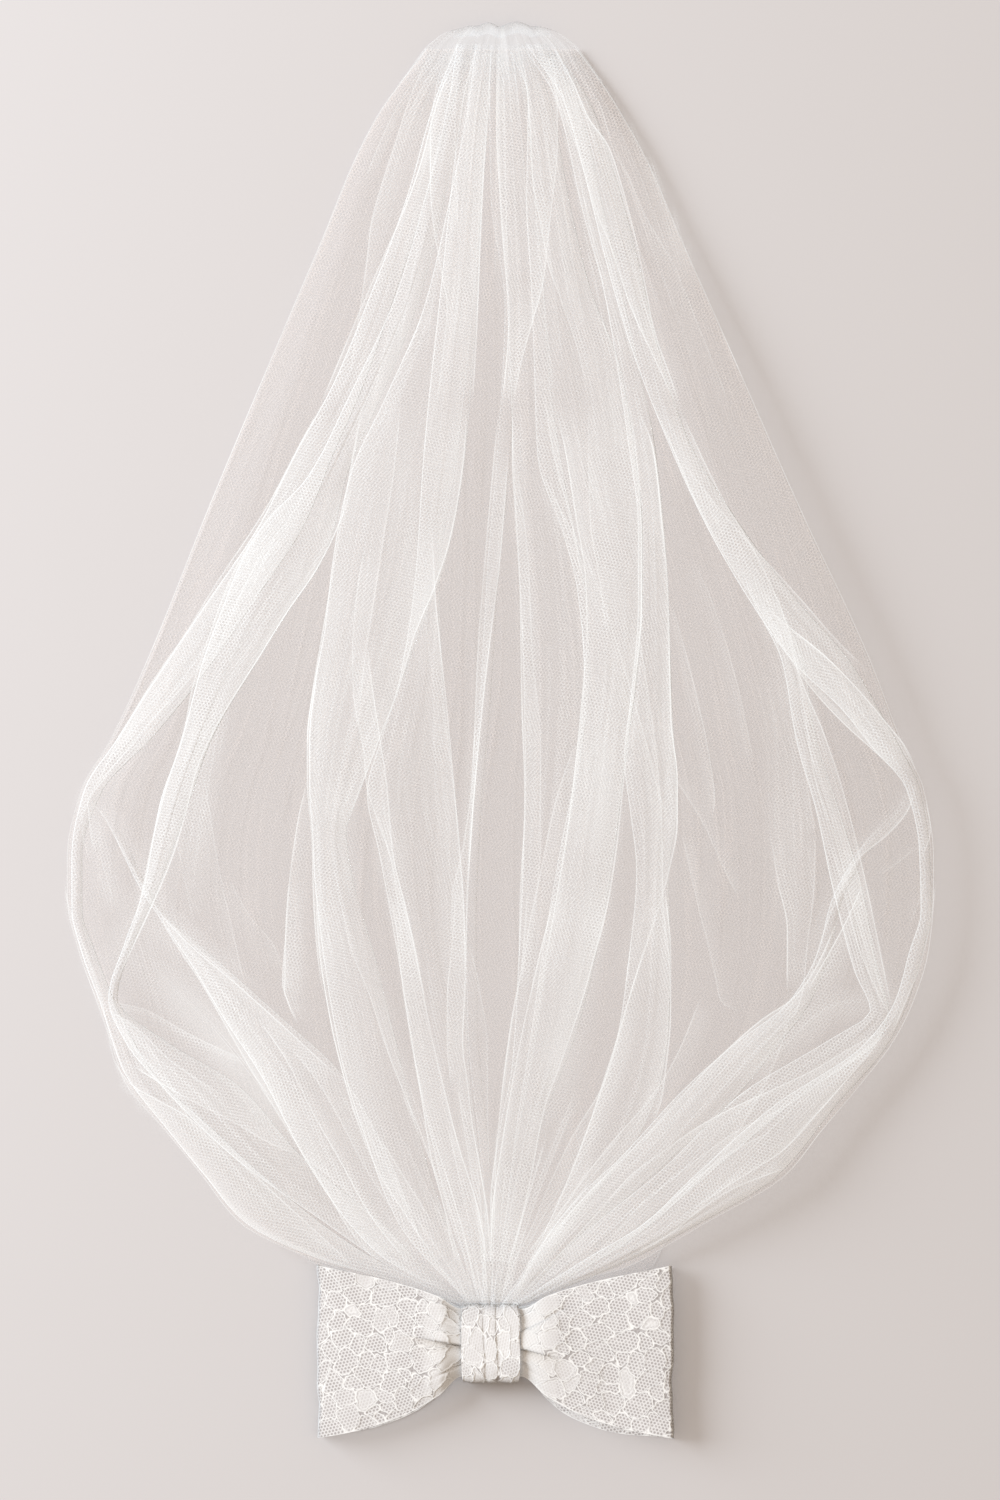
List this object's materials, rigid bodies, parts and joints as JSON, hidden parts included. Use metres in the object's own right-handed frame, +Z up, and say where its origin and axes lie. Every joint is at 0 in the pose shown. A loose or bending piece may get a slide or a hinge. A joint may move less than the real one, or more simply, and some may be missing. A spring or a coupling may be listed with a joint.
{
  "type": "bridal veil",
  "caption": "Bridal veil of soft white tulle, laid flat: gathered at a rolled header, swelling into long overlapping folds and drawn in again to a lace bow with a pleated knot.",
  "frame": {"origin": "centre of the veil's box, on the surface it lies on", "axes": "+Y from the bow up to the header, +X across the veil to the viewer's right, +Z up off the surface"},
  "size_m": [0.56, 0.9219, 0.0285],
  "materials": {
    "tulle": "sheer soft white tulle net",
    "lace": "corded off-white lace on a net ground"
  },
  "bodies": {
    "root": {"tulle_back": "tulle", "tulle_front": "tulle", "tulle_fold_left_outer": "tulle", "tulle_fold_left": "tulle", "tulle_fold_left_diagonal": "tulle", "tulle_fold_centre_left": "tulle", "tulle_fold_centre_left_inner": "tulle", "tulle_fold_centre": "tulle", "tulle_fold_centre_right": "tulle", "tulle_fold_right_inner": "tulle", "tulle_fold_right_middle": "tulle", "tulle_fold_right": "tulle", "tulle_fold_right_broad": "tulle", "tulle_fold_right_diagonal": "tulle", "tulle_header": "tulle", "bow_loop_left": "lace", "bow_loop_right": "lace", "bow_knot": "lace"}
  },
  "joints": []
}
